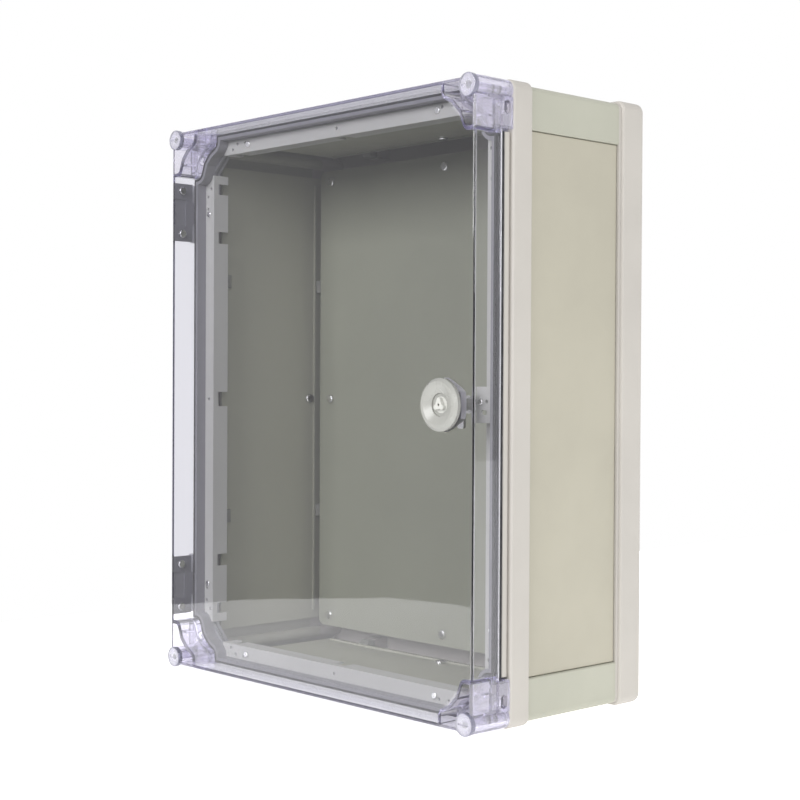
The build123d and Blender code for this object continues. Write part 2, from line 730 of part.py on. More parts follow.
def rail_screw_places():
    """Centres of the screws that hold the rails, seen from the front."""
    across = RAIL_INSET + RAIL_SCREW_ACROSS
    tip_x = WIDTH / 2 - RAIL_END - RAIL_SCREW_FROM_TIP
    tip_z = HEIGHT / 2 - RAIL_END - RAIL_SCREW_FROM_TIP
    places = []
    for sign_x, sign_z in SIGNS:
        places.append((sign_x * tip_x, sign_z * (HEIGHT / 2 - across)))
        places.append((sign_x * (WIDTH / 2 - across), sign_z * tip_z))
    return places


def make_rail_screws():
    """Small screws that hold the rails to the frame's ledge."""
    screws = []
    for x, z in rail_screw_places():
        shank = rod(x, z, RAIL_SCREW_R - HOLE_GAP, RAIL_FACE, LEDGE_REAR)
        screws.append(pan_head(x, z, RAIL_HEAD_R, RAIL_HEAD_T, RAIL_FACE) + shank)
    return Compound(screws)


def make_strike():
    """Raised plate on the right rail that the lock's cam turns behind."""
    wide = STRIKE_RIGHT - STRIKE_LEFT
    middle = (STRIKE_LEFT + STRIKE_RIGHT) / 2
    face = Pos(middle, 0) * Rectangle(wide, STRIKE_H)
    strike = slab(face, STRIKE_DEPTH, STRIKE_DEPTH + STRIKE_T)
    leg = Pos(STRIKE_RIGHT - STRIKE_T / 2, 0) * Rectangle(STRIKE_T, STRIKE_H)
    strike += slab(leg, STRIKE_DEPTH, RAIL_FACE)
    strike += rod(STRIKE_SCREW_X, STRIKE_SCREW_Z, STRIKE_SPACER_R, STRIKE_DEPTH, RAIL_FACE)
    strike -= rod(STRIKE_SCREW_X, STRIKE_SCREW_Z, STRIKE_SCREW_R + HOLE_GAP, STRIKE_DEPTH, RAIL_FACE)
    hole_x = STRIKE_LEFT + STRIKE_HOLE_FROM_LEFT
    strike -= rod(hole_x, STRIKE_SCREW_Z, STRIKE_SCREW_R, STRIKE_DEPTH, STRIKE_DEPTH + STRIKE_T)
    slot_x = STRIKE_LEFT + STRIKE_SLOT_FROM_LEFT
    slot = Pos(slot_x, STRIKE_SLOT_Z) * SlotOverall(STRIKE_SLOT_L, STRIKE_SLOT_W)
    return strike - slab(slot, STRIKE_DEPTH, STRIKE_DEPTH + STRIKE_T)


def make_strike_screw():
    """Screw through the strike's spacer to the rail."""
    head = pan_head(STRIKE_SCREW_X, STRIKE_SCREW_Z, STRIKE_HEAD_R, STRIKE_HEAD_T, STRIKE_DEPTH)
    return head + rod(STRIKE_SCREW_X, STRIKE_SCREW_Z, STRIKE_SCREW_R, STRIKE_DEPTH, RAIL_FACE)


def make_lock_housing():
    """Round lock housing: bevelled disc with a dish, and a threaded barrel."""
    outline = (
        (CORE_R + CORE_GAP, BARREL_DEPTH),
        (BARREL_R, BARREL_DEPTH),
        (BARREL_R, -LOCK_SEAL_T),
        (DISH_R, -LOCK_SEAL_T),
        (DISH_R, DISH_BEVEL - DISH_PROUD),
        (DISH_R - DISH_BEVEL, -DISH_PROUD),
        (DISH_BOWL_R, -DISH_PROUD),
        (DISH_WELL_R, DISH_BOWL_DEEP - DISH_PROUD),
        (DISH_WELL_R, CORE_FRONT),
        (CORE_R + CORE_GAP, CORE_FRONT),
    )
    return Pos(LOCK_X, 0, 0) * turned(outline)


def make_lock_nut():
    """Six-sided lock nut with its front corners turned off."""
    nut = RegularPolygon(NUT_FLAT, 6, major_radius=False, rotation=30)
    nut = slab(Pos(LOCK_X, 0) * nut, COVER_T, COVER_T + NUT_T)
    corner_r = NUT_FLAT / 0.75 ** 0.5
    bevelled = Pos(LOCK_X, 0, 0) * turned((
        (0, COVER_T),
        (corner_r, COVER_T),
        (corner_r, COVER_T + NUT_T - NUT_EDGE),
        (corner_r - NUT_EDGE * 2, COVER_T + NUT_T),
        (0, COVER_T + NUT_T),
    ))
    return (nut & bevelled) - rod(LOCK_X, 0, BARREL_R + THREAD_GAP, COVER_T, COVER_T + NUT_T)


def turned(outline):
    """Solid of revolution about the depth axis, from pairs of radius and depth."""
    points = []
    for radius, depth in outline:
        points.append((radius, depth - DEPTH))
    return revolve(make_face(Polyline(*points, close=True)), Axis.Y)


def make_lock_core():
    """Turning insert: a lobed knob with a round keyhole, and a neck for the cam."""
    outline = (
        (0, CORE_FRONT),
        (CORE_R, CORE_FRONT),
        (CORE_R, BARREL_DEPTH + CORE_GAP),
        (CORE_FLANGE_R, BARREL_DEPTH + CORE_GAP),
        (CORE_FLANGE_R, BARREL_DEPTH + CORE_FLANGE_T),
        (CORE_NECK_R, BARREL_DEPTH + CORE_FLANGE_T),
        (CORE_NECK_R, CORE_DEPTH),
        (0, CORE_DEPTH),
    )
    core = Pos(LOCK_X, 0, 0) * turned(outline)
    knob = Circle(KNOB_CORE_R)
    for number in range(KNOB_LOBES):
        knob += Rot(0, 0, 90 + number * 360 / KNOB_LOBES) * Pos(KNOB_LOBE_OUT, 0) * Circle(KNOB_LOBE_R)
    core += slab(Pos(LOCK_X, 0) * knob, CORE_FRONT - KNOB_PROUD, CORE_FRONT)
    top = CORE_FRONT - KNOB_PROUD
    return core - rod(LOCK_X, 0, KEY_PIN_R, top, top + KEY_PIN_DEEP)


def make_cam():
    """Cam with an offset arm, shown hanging down beside its hub: unlocked."""
    arm_x = -CAM_DROP - CAM_W / 2
    arm = Pos(LOCK_X + arm_x, -CAM_LENGTH / 2) * Rectangle(CAM_W, CAM_LENGTH)
    arm = fillet(arm.vertices().sort_by(Axis.Y)[:2], CAM_CORNER_R)
    outline = Pos(LOCK_X, 0) * Circle(CAM_HUB_R) + arm
    outline -= Pos(LOCK_X, 0) * Circle(CAM_SCREW_R + HOLE_GAP)
    return slab(outline, CORE_DEPTH, CORE_DEPTH + CAM_T)


def make_cam_screw():
    """Screw that holds the cam on the insert's neck."""
    rear = CORE_DEPTH + CAM_T
    return rod(LOCK_X, 0, CAM_HEAD_R, rear, rear + CAM_HEAD_T) + rod(LOCK_X, 0, CAM_SCREW_R, CORE_DEPTH, rear)


def make_cover_leaf(middle):
    """Hinge leaf on the cover: a thin plate, an arm behind it and a knuckle."""
    outer = COVER_LEFT - LEAF_OUT
    low = middle - HINGE_H / 2
    plate = Box(LEAF_OUT, LEAF_REAR - LEAF_FRONT, HINGE_H, align=(Align.MIN, Align.MIN, Align.MIN))
    plate = Pos(outer, LEAF_FRONT - DEPTH, low) * plate
    leaf = fillet(plate.faces().sort_by(Axis.X)[0].edges(), LEAF_EDGE_R)
    recess = Box(LEAF_RECESS, LEAF_RECESS_W, LEAF_RECESS_H)
    recess_x = COVER_LEFT - LEAF_RECESS / 2
    leaf -= Pos(recess_x, (LEAF_FRONT + LEAF_ARM_FRONT) / 2 - DEPTH, middle) * recess
    arm_h = HINGE_MIDDLE - HINGE_GAP
    points = (
        (COVER_LEFT, LEAF_ARM_FRONT - DEPTH),
        (outer, LEAF_ARM_FRONT - DEPTH),
        (HINGE_X - KNUCKLE_R / 2, HINGE_DEPTH - KNUCKLE_R * 0.8 - DEPTH),
        (HINGE_X, HINGE_DEPTH - DEPTH),
        (outer, LEAF_ARM_REAR - DEPTH),
        (COVER_LEFT, LEAF_ARM_REAR - DEPTH),
    )
    arm = extrude(make_face(Polyline(*points, close=True)), amount=arm_h)
    leaf += Pos(0, 0, middle - arm_h / 2) * arm
    leaf += Pos(HINGE_X, HINGE_DEPTH - DEPTH, middle) * Cylinder(KNUCKLE_R, arm_h)
    leaf -= Pos(HINGE_X, HINGE_DEPTH - DEPTH, middle) * Cylinder(PIN_R + PIN_GAP, HINGE_MIDDLE)
    for place in (middle - LEAF_SCREW_Z, middle + LEAF_SCREW_Z):
        reach = COVER_LEFT - LEAF_SCREW_REACH
        leaf -= pin_across(LEAF_SCREW_DEPTH - DEPTH, place, LEAF_SCREW_R, COVER_LEFT, reach)
    return leaf


def make_leaf_screws():
    """Screws from inside the cover into its hinge leaves."""
    screws = []
    inner = COVER_LEFT + COVER_T
    for middle in (-HINGE_Z, HINGE_Z):
        for place in (middle - LEAF_SCREW_Z, middle + LEAF_SCREW_Z):
            y = LEAF_SCREW_DEPTH - DEPTH
            head = pin_across(y, place, LEAF_HEAD_R, inner, inner + LEAF_HEAD_T)
            head = fillet(head.edges().sort_by(Axis.X)[-1], LEAF_HEAD_T * 0.4)
            shank = pin_across(y, place, LEAF_SCREW_R - HOLE_GAP, COVER_LEFT - LEAF_SCREW_REACH, inner)
            screws.append(head + shank)
    return Compound(screws)


def make_base_leaf(middle):
    """Hinge leaf on the frame's band: a plate, two arms and two knuckles."""
    side = -WIDTH / 2
    plate_front = BAND_FRONT + BASE_LEAF_GAP
    size = (BASE_LEAF_T, BASE_LEAF_REAR - plate_front, HINGE_H)
    plate = Pos(side - BASE_LEAF_T / 2, (plate_front + BASE_LEAF_REAR) / 2 - DEPTH, middle) * Box(*size)
    leaf = fillet(plate.faces().sort_by(Axis.X)[0].edges(), BASE_LEAF_EDGE_R)
    end_h = (HINGE_H - HINGE_MIDDLE) / 2
    for sign in (-1, 1):
        z = middle + sign * (HINGE_MIDDLE / 2 + end_h / 2)
        arm_rear = plate_front + 2
        arm = Box(KNUCKLE_R, arm_rear - HINGE_DEPTH, end_h)
        leaf += Pos(HINGE_X + KNUCKLE_R / 2, (arm_rear + HINGE_DEPTH) / 2 - DEPTH, z) * arm
        leaf += Pos(HINGE_X, HINGE_DEPTH - DEPTH, z) * Cylinder(KNUCKLE_R, end_h)
        leaf -= Pos(HINGE_X, HINGE_DEPTH - DEPTH, z) * Cylinder(PIN_R, end_h)
        reach = side - BASE_LEAF_T
        place = middle + sign * LEAF_SCREW_Z
        leaf -= pin_across(BASE_LEAF_SCREW_DEPTH - DEPTH, place, LEAF_SCREW_R, side, reach)
    return leaf


def make_base_leaf_screws():
    """Screws from outside through the frame's hinge leaves."""
    screws = []
    outer = -WIDTH / 2 - BASE_LEAF_T
    for middle in (-HINGE_Z, HINGE_Z):
        for place in (middle - LEAF_SCREW_Z, middle + LEAF_SCREW_Z):
            y = BASE_LEAF_SCREW_DEPTH - DEPTH
            head = pin_across(y, place, LEAF_HEAD_R, outer - LEAF_HEAD_T / 2, outer)
            head = fillet(head.edges().sort_by(Axis.X)[0], LEAF_HEAD_T * 0.2)
            shank = pin_across(y, place, LEAF_SCREW_R - HOLE_GAP, outer, BASE_LEAF_SCREW_REACH - WIDTH / 2)
            screws.append(head + shank)
    return Compound(screws)


def base_leaf_screw_holes():
    """Holes for those screws in the frame's band."""
    holes = []
    for middle in (-HINGE_Z, HINGE_Z):
        for place in (middle - LEAF_SCREW_Z, middle + LEAF_SCREW_Z):
            reach = BASE_LEAF_SCREW_REACH - WIDTH / 2
            holes.append(pin_across(BASE_LEAF_SCREW_DEPTH - DEPTH, place, LEAF_SCREW_R, -WIDTH / 2, reach))
    return holes


def make_pin(middle):
    """Hinge pin."""
    return Pos(HINGE_X, HINGE_DEPTH - DEPTH, middle) * Cylinder(PIN_R, HINGE_H)


def save(name, shape):
    """Write one sub-part."""
    export_step(shape, "parts/" + name + ".step")


def main():
    """Make and write every sub-part."""
    os.makedirs("parts", exist_ok=True)
    frame = make_frame()
    for hole in base_leaf_screw_holes():
        frame -= hole
    save("front_frame", frame)
    save("rear_tray", make_tray())
    path = seal_path()
    gasket = ring(path, GASKET_SIDE, GASKET_SIDE + GASKET_W)
    save("cover_gasket", slab(gasket, SKIRT_DEPTH + GASKET_GAP, SHOULDER))
    lip_front = COLLAR_DEPTH - LIP_FRONT
    save("collar_seal", slab(ring(path, LIP_SIDE, COLLAR_SIDE), lip_front, lip_front + LIP_LENGTH))
    save("cover", make_cover())
    for name, (sign_x, sign_z) in zip(CORNER_NAMES, SIGNS):
        save("corner_post_" + name, make_post(sign_x, sign_z))
        save("corner_screw_" + name, make_corner_screw(sign_x, sign_z))
        save("corner_seals_" + name, make_corner_seals(sign_x, sign_z))
    for side in SIDE_TURNS:
        save("flange_plate_" + side, make_flange_plate(side))
        save("flange_gasket_" + side, make_flange_gasket(side))
        save("rail_" + side, make_rail(side))
    save("flange_clips", make_clips())
    save("flange_screws", make_knobs())
    save("frame_screws", Compound(at_ties(lambda x, z: tie_screw(x, z, 0))))
    save("mounting_plate", make_plate())
    save("plate_screws", make_plate_screws())
    save("rail_screws", make_rail_screws())
    save("strike_bracket", make_strike())
    save("strike_screw", make_strike_screw())
    save("lock_housing", make_lock_housing())
    washer = Circle(LOCK_SEAL_R) - Circle(BARREL_R + THREAD_GAP)
    save("lock_gasket", slab(Pos(LOCK_X, 0) * washer, -LOCK_SEAL_T, 0))
    save("lock_nut", make_lock_nut())
    save("lock_core", make_lock_core())
    save("lock_cam", make_cam())
    save("cam_screw", make_cam_screw())
    for name, middle in (("upper", HINGE_Z), ("lower", -HINGE_Z)):
        save("cover_hinge_leaf_" + name, make_cover_leaf(middle))
        save("base_hinge_leaf_" + name, make_base_leaf(middle))
        save("hinge_pin_" + name, make_pin(middle))
    save("cover_leaf_screws", make_leaf_screws())
    save("base_leaf_screws", make_base_leaf_screws())


main()
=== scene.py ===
"""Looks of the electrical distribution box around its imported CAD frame.

Metres, in the frame of the CAD: +Z up, the cover faces -Y, the origin is the
centre of the back face. Colours are linear RGB.
"""

import math

import bpy
from mathutils import Matrix, Vector


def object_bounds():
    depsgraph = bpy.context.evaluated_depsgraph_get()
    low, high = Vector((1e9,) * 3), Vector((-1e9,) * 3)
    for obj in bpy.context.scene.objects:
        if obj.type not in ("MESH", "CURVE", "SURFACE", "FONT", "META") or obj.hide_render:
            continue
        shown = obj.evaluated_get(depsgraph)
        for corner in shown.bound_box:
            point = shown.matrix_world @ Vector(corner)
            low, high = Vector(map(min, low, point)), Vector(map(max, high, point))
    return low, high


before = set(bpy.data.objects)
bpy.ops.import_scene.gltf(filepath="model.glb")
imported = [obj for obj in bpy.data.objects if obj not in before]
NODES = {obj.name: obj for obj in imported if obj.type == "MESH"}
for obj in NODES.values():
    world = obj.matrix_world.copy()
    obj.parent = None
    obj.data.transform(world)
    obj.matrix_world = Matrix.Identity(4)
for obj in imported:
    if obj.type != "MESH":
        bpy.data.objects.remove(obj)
cad_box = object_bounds()

CORNERS = ("bottom_left", "bottom_right", "top_left", "top_right")
SIDES = ("top", "right", "bottom", "left")
HINGES = ("upper", "lower")

# Camera, found by fitting the box's edges to the photograph. Angles in degrees.
CAMERA_AT = (1.007955, -1.026609, 0.018424)
CAMERA_YAW = 47.151
CAMERA_PITCH = 0.725
CAMERA_ROLL = 0.293
CAMERA_LENS = 69.50
SENSOR = 36.0

# Colours of the opaque pieces. The faces that look into the box have their own, which are
# painted lighting: painted shade on the front frame, painted light on the flange plates.
BODY = (0.425, 0.403, 0.370)
# Painted shade: the front frame's faces inside the box, darker than BODY.
FRAME_PAINTED_SHADE = (0.318, 0.313, 0.344)
POST = (0.365, 0.365, 0.302)
PANEL = (0.366, 0.346, 0.278)
# Painted light: the flange plates' faces inside the box, lighter than PANEL.
PANEL_PAINTED_LIGHT = (0.456, 0.461, 0.362)
CLIP = (0.230, 0.232, 0.200)
PLATE_PAINT = (0.356, 0.368, 0.283)
RAIL_PAINT = (0.680, 0.680, 0.650)
ZINC = (0.80, 0.80, 0.78)
LEAF_SCREW = (0.55, 0.55, 0.56)
LOCK_HOUSING = (0.330, 0.330, 0.308)
LOCK_CORE = (0.520, 0.520, 0.490)
LOCK_NUT = (0.900, 0.890, 0.920)
HINGE = (0.358, 0.356, 0.388)
RUBBER_DARK = (0.010, 0.010, 0.012)
RUBBER_LIGHT = (0.030, 0.030, 0.034)

# Where the front frame and the flange plates look into the box, and take painted
# lighting (painted shade on the frame, painted light on the plates): nearer to its
# middle than this across and up, and in front of this Y. The blends are the
# widths over which the colour changes there.
FRAME_WITHIN = (0.1935, 0.2435, -0.150)
PANEL_WITHIN = (0.1905, 0.2405, 0.0)
WITHIN_BLEND = 0.0004
REAR_BLEND = 0.001

# Surface layers: noise scale in features per metre, noise detail, bump strength
# and bump height.
GRAIN_LAYER = (2600.0, 2.0, 0.25, 0.00006)
FINE_GRAIN_LAYER = (3200.0, 2.0, 0.25, 0.00006)
SINK_LAYER = (30.0, 2.0, 0.12, 0.0004)
WINDOW_LAYER = (9.0, 2.0, 0.10, 0.0006)
CAP_LAYER = (400.0, 2.0, 0.08, 0.0001)
FOAM_LAYER = (1800.0, 3.0, 0.5, 0.0001)
ROLLING_LAYER = (900.0, 2.0, 0.15, 0.00003)
ORANGE_PEEL_LAYER = (700.0, 1.0, 0.05, 0.00005)
POWDER_LAYER = (3200.0, 1.0, 0.04, 0.00003)

# Noises that vary colour and gloss: scale in features per metre, detail.
FLOW_MARKS = (14.0, 4.0)
GLOSS_PATCHES = (60.0, 5.0)
WINDOW_SMEARS = (90.0, 6.0)
CAP_CLOUDS = (220.0, 3.0)
CAP_SMEARS = (300.0, 3.0)
RUBBER_CLOUDS = (120.0, 3.0)
RUBBER_PATCHES = (500.0, 2.0)
PLATING_CLOUDS = (45.0, 4.0)
PAINT_CLOUDS = (10.0, 3.0)
PAINT_PATCHES = (140.0, 4.0)
FLOOR_CLOUDS = (3.0, 2.0)

# Where a noise begins and ends when it is mapped onto a range or two colours.
NOISE_REACH = (0.3, 0.7)
TINT_REACH = (0.35, 0.65)
SMEAR_REACH = (0.45, 0.75)

# Colour of the noise's dark and light parts, as a share of the piece's colour.
MOULDED_MOTTLE = 0.03
FINE_MOTTLE = 0.02
PLATING_SHADES = (0.88, 1.06)
PAINT_SHADES = (0.97, 1.03)

# Roughness: a value with a swing down and up from it, or a range.
MOULDED_ROUGHNESS = 0.45
HINGE_ROUGHNESS = 0.4
LOCK_ROUGHNESS = 0.24
NUT_ROUGHNESS = 0.32
ZINC_ROUGHNESS = 0.20
LEAF_SCREW_ROUGHNESS = 0.16
MOULDED_SWING = (-0.06, 0.08)
PLATED_SWING = (-0.08, 0.10)
PAINT_ROUGHNESS = (0.37, 0.49)
RUBBER_ROUGHNESS = (0.55, 0.85)
FLOOR_ROUGHNESS = 0.9
MOULDED_IOR = 1.5

# Softened edges of the opaque pieces.
MOULDED_EDGE = 0.0006
HOUSING_EDGE = 0.0005
NUT_EDGE = 0.0004
CORE_EDGE = 0.0003
SHEET_EDGE = 0.0003
BEVEL_SAMPLES = 4

# Clear plastic. The corner pockets start this far from the middle: across, up,
# and the two added.
CORNER_X = 0.161
CORNER_Z = 0.208
CORNER_SUM = 0.398
CORNER_BLEND = 0.003
CORNER_TINT = (0.925, 0.905, 0.975)
CORNER_MILK = 0.13
WINDOW_TINT = (0.97, 0.97, 0.98)
WINDOW_ROUGHNESS = (0.012, 0.045)
SKIRT_EDGE = -0.1719
SKIRT_BLEND = 0.0003
# Painted highlight: whiter, milky plastic along the rear end of the skirt.
SKIRT_HIGHLIGHT_TINT = (0.93, 0.93, 0.96)
SKIRT_HIGHLIGHT_MILK = 0.35
CLEAR_IOR = 1.585
SHADOW_TINT = (0.95, 0.95, 0.95)
ABSORB = (0.56, 0.52, 0.86)
COVER_DENSITY = 24.0
CAP_DENSITY = 20.0

# Corner screws: their axes, and their caps' milky middle and painted shade as a darker
# outline round the rim.
SCREW_X = 0.1908
SCREW_Z = 0.2408
CAP_FRONT = -0.2010
CAP_FRONT_BLEND = 0.0005
CAP_MIDDLE = 0.0050
CAP_RIM = 0.0082
CAP_RIM_BLEND = 0.0006
CAP_DARK = (0.90, 0.89, 0.97)
CAP_LIGHT = (0.99, 0.99, 1.0)
CAP_RIM_PAINTED_SHADE = (0.24, 0.24, 0.31)
CAP_CLEAR = (0.79, 0.89)
CAP_MILK = 0.12
CAP_SHADED_RIM_MILK = 0.30
CAP_ROUGHNESS = (0.03, 0.10)

# Studio. The lamps have a place, an aim, a size and a power in watts.
KEY_LAMP = ((2.5, -1.6, 1.1), (0.0, -0.1, 0.0), (1.8, 1.8), 30.0)
FRONT_LAMP = ((0.3, -3.3, 1.2), (0.0, 0.0, -0.05), (2.4, 1.6), 84.0)
WORLD_FRONT = (0.60, 0.60, 0.61)
WORLD_BACK = (1.0, 1.0, 1.0)
WORLD_REACH = (0.45, 0.62)
FLOOR_GAP = 0.0004
FLOOR_OUTLINE = (
    (-0.53, 3.0),
    (-0.53, -0.40),
    (-0.50, -0.52),
    (-0.40, -0.66),
    (-0.31, -0.68),
    (3.0, -0.68),
    (3.0, 3.0),
)
FLOOR_DARK = (0.86, 0.86, 0.86)
FLOOR_LIGHT = (0.90, 0.90, 0.90)
FLOOR_GLOW = 0.78
DEEP_BOUNCES = 28
GLOSSY_BOUNCES = 8


def add_camera():
    """Camera at the photograph's viewpoint."""
    yaw, pitch, roll = (math.radians(a) for a in (CAMERA_YAW, CAMERA_PITCH, CAMERA_ROLL))
    level_share = math.cos(pitch)
    ahead = (-math.sin(yaw) * level_share, math.cos(yaw) * level_share, -math.sin(pitch))
    forward = Vector(ahead)
    level = Vector((math.cos(yaw), math.sin(yaw), 0))
    above = level.cross(forward)
    right = level * math.cos(roll) + above * math.sin(roll)
    up = above * math.cos(roll) - level * math.sin(roll)
    data = bpy.data.cameras.new("camera")
    data.lens = CAMERA_LENS
    data.sensor_width = SENSOR
    camera = bpy.data.objects.new("camera", data)
    turn = Matrix((right, up, -forward)).transposed()
    camera.matrix_world = Matrix.Translation(CAMERA_AT) @ turn.to_4x4()
    bpy.context.scene.collection.objects.link(camera)
    bpy.context.scene.camera = camera


def new_material(name):
    """A node material, its tree and its shader."""
    material = bpy.data.materials.new(name)
    material.use_nodes = True
    tree = material.node_tree
    return material, tree, tree.nodes["Principled BSDF"]


def noise(tree, scale, detail):
    """Noise over the object's own coordinates, in features per metre."""
    place = tree.nodes.new("ShaderNodeTexCoord")
    pattern = tree.nodes.new("ShaderNodeTexNoise")
    pattern.inputs["Scale"].default_value = scale
    pattern.inputs["Detail"].default_value = detail
    tree.links.new(place.outputs["Object"], pattern.inputs["Vector"])
    return pattern.outputs["Fac"]


def spread(tree, source, low, high, start=NOISE_REACH[0], end=NOISE_REACH[1]):
    """Map a value onto a range, by default from a noise's usual reach."""
    node = tree.nodes.new("ShaderNodeMapRange")
    node.inputs["From Min"].default_value = start
    node.inputs["From Max"].default_value = end
    node.inputs["To Min"].default_value = low
    node.inputs["To Max"].default_value = high
    tree.links.new(source, node.inputs["Value"])
    return node.outputs["Result"]


def maths(tree, operation, first, second=None):
    """Result of one operation on a socket, and a socket or number."""
    node = tree.nodes.new("ShaderNodeMath")
    node.operation = operation
    tree.links.new(first, node.inputs[0])
    if isinstance(second, float):
        node.inputs[1].default_value = second
    elif second:
        tree.links.new(second, node.inputs[1])
    return node.outputs["Value"]


def product(tree, *factors):
    """Product of several sockets."""
    result = factors[0]
    for factor in factors[1:]:
        result = maths(tree, "MULTIPLY", result, factor)
    return result


def places(tree):
    """Distances from the middle across, along and up, from the object's coordinates."""
    place = tree.nodes.new("ShaderNodeTexCoord")
    split = tree.nodes.new("ShaderNodeSeparateXYZ")
    tree.links.new(place.outputs["Object"], split.inputs["Vector"])
    across = maths(tree, "ABSOLUTE", split.outputs["X"])
    up = maths(tree, "ABSOLUTE", split.outputs["Z"])
    return across, split.outputs["Y"], up


def tint(tree, source, dark, light):
    """Blend two colours by a noise."""
    node = tree.nodes.new("ShaderNodeValToRGB")
    low, high = node.color_ramp.elements
    low.position, high.position = TINT_REACH
    low.color = (*dark, 1)
    high.color = (*light, 1)
    tree.links.new(source, node.inputs["Fac"])
    return node.outputs["Color"]


def blend(tree, factor, first, second):
    """Colour between two colours or colour sockets, by a factor."""
    node = tree.nodes.new("ShaderNodeMix")
    node.data_type = "RGBA"
    colours = [s for s in node.inputs if s.type == "RGBA"]
    for socket, colour in zip(colours, (first, second)):
        if isinstance(colour, tuple):
            socket.default_value = (*colour, 1)
        else:
            tree.links.new(colour, socket)
    tree.links.new(factor, node.inputs["Factor"])
    return [s for s in node.outputs if s.type == "RGBA"][0]


def shade(colour, factor):
    """A colour made lighter or darker."""
    return tuple(min(channel * factor, 1.0) for channel in colour)


def bump(tree, shader, layers, edge=0.0):
    """Stack surface layers, over softened edges, into the shader's normal."""
    normal = None
    if edge:
        bevel = tree.nodes.new("ShaderNodeBevel")
        bevel.samples = BEVEL_SAMPLES
        bevel.inputs["Radius"].default_value = edge
        normal = bevel.outputs["Normal"]
    for scale, detail, strength, height in layers:
        node = tree.nodes.new("ShaderNodeBump")
        node.inputs["Strength"].default_value = strength
        node.inputs["Distance"].default_value = height
        tree.links.new(noise(tree, scale, detail), node.inputs["Height"])
        if normal:
            tree.links.new(normal, node.inputs["Normal"])
        normal = node.outputs["Normal"]
    tree.links.new(normal, shader.inputs["Normal"])


def painted_lighting_mask(tree, far_x, far_z, rear):
    """One on the faces that look into the box, where the painted lighting goes, zero on those
    that look out of it.
    """
    across, along, up = places(tree)
    wide = spread(tree, across, 1.0, 0.0, far_x, far_x + WITHIN_BLEND)
    tall = spread(tree, up, 1.0, 0.0, far_z, far_z + WITHIN_BLEND)
    front = spread(tree, along, 1.0, 0.0, rear, rear + REAR_BLEND)
    return product(tree, wide, tall, front)


def moulded(name, colour, roughness=MOULDED_ROUGHNESS, edge=MOULDED_EDGE, grain=GRAIN_LAYER,
            mottle=MOULDED_MOTTLE, painted_inside=None, within=None):
    """Opaque moulded plastic: spark-eroded grain, faint flow marks and soft edges, and, if
    given, a colour of painted lighting on the faces that look into the box.
    """
    material, tree, shader = new_material(name)
    cloud = noise(tree, *FLOW_MARKS)
    skin = tint(tree, cloud, shade(colour, 1 - mottle), shade(colour, 1 + mottle))
    # Painted lighting: faces inside the box take a colour that stands in for their shade or
    # light.
    if painted_inside:
        skin = blend(tree, painted_lighting_mask(tree, *within), skin, painted_inside)
    tree.links.new(skin, shader.inputs["Base Color"])
    smoothest, roughest = (roughness + swing for swing in MOULDED_SWING)
    rough = spread(tree, noise(tree, *GLOSS_PATCHES), smoothest, roughest)
    tree.links.new(rough, shader.inputs["Roughness"])
    shader.inputs["IOR"].default_value = MOULDED_IOR
    bump(tree, shader, [grain, SINK_LAYER], edge)
    return material


def corner_mask(tree, across, up):
    """One inside the cover's four corner pockets, zero over its window."""
    both = maths(tree, "ADD", across, up)
    wide = spread(tree, across, 0.0, 1.0, CORNER_X, CORNER_X + CORNER_BLEND)
    tall = spread(tree, up, 0.0, 1.0, CORNER_Z, CORNER_Z + CORNER_BLEND)
    slant = spread(tree, both, 0.0, 1.0, CORNER_SUM, CORNER_SUM + CORNER_BLEND)
    return product(tree, wide, tall, slant)


def glassy(tree, shader, density):
    """Light passes straight through for shadows, and thick plastic absorbs some."""
    links = tree.links
    clear = tree.nodes.new("ShaderNodeBsdfTransparent")
    clear.inputs["Color"].default_value = (*SHADOW_TINT, 1)
    mix = tree.nodes.new("ShaderNodeMixShader")
    path = tree.nodes.new("ShaderNodeLightPath")
    output = tree.nodes["Material Output"]
    links.new(path.outputs["Is Shadow Ray"], mix.inputs[0])
    links.new(shader.outputs["BSDF"], mix.inputs[1])
    links.new(clear.outputs["BSDF"], mix.inputs[2])
    links.new(mix.outputs["Shader"], output.inputs["Surface"])
    volume = tree.nodes.new("ShaderNodeVolumeAbsorption")
    volume.inputs["Color"].default_value = (*ABSORB, 1)
    volume.inputs["Density"].default_value = density
    links.new(volume.outputs["Volume"], output.inputs["Volume"])


def clear_plastic():
    """Clear polycarbonate: lilac in its thick corners, with a whitish painted highlight along
    the end of its skirt.
    """
    material, tree, shader = new_material("clear_polycarbonate")
    links = tree.links
    across, along, up = places(tree)
    corner = corner_mask(tree, across, up)
    thin = spread(tree, corner, 1.0, 0.0, 0.0, 1.0)
    rear = spread(tree, along, 0.0, 1.0, SKIRT_EDGE, SKIRT_EDGE + SKIRT_BLEND)
    # Painted highlight: the skirt's rear end is made milky and whiter.
    skirt = product(tree, rear, thin)
    tinted = blend(tree, corner, WINDOW_TINT, CORNER_TINT)
    links.new(blend(tree, skirt, tinted, SKIRT_HIGHLIGHT_TINT), shader.inputs["Base Color"])
    milky = maths(tree, "MULTIPLY", corner, CORNER_MILK)
    skirt_highlight = maths(tree, "MULTIPLY", skirt, SKIRT_HIGHLIGHT_MILK)
    haze = maths(tree, "ADD", milky, skirt_highlight)
    links.new(spread(tree, haze, 1.0, 0.0, 0.0, 1.0), shader.inputs["Transmission Weight"])
    shader.inputs["IOR"].default_value = CLEAR_IOR
    smears = noise(tree, *WINDOW_SMEARS)
    rough = spread(tree, smears, *WINDOW_ROUGHNESS, *SMEAR_REACH)
    links.new(rough, shader.inputs["Roughness"])
    bump(tree, shader, [WINDOW_LAYER])
    glassy(tree, shader, COVER_DENSITY)
    return material


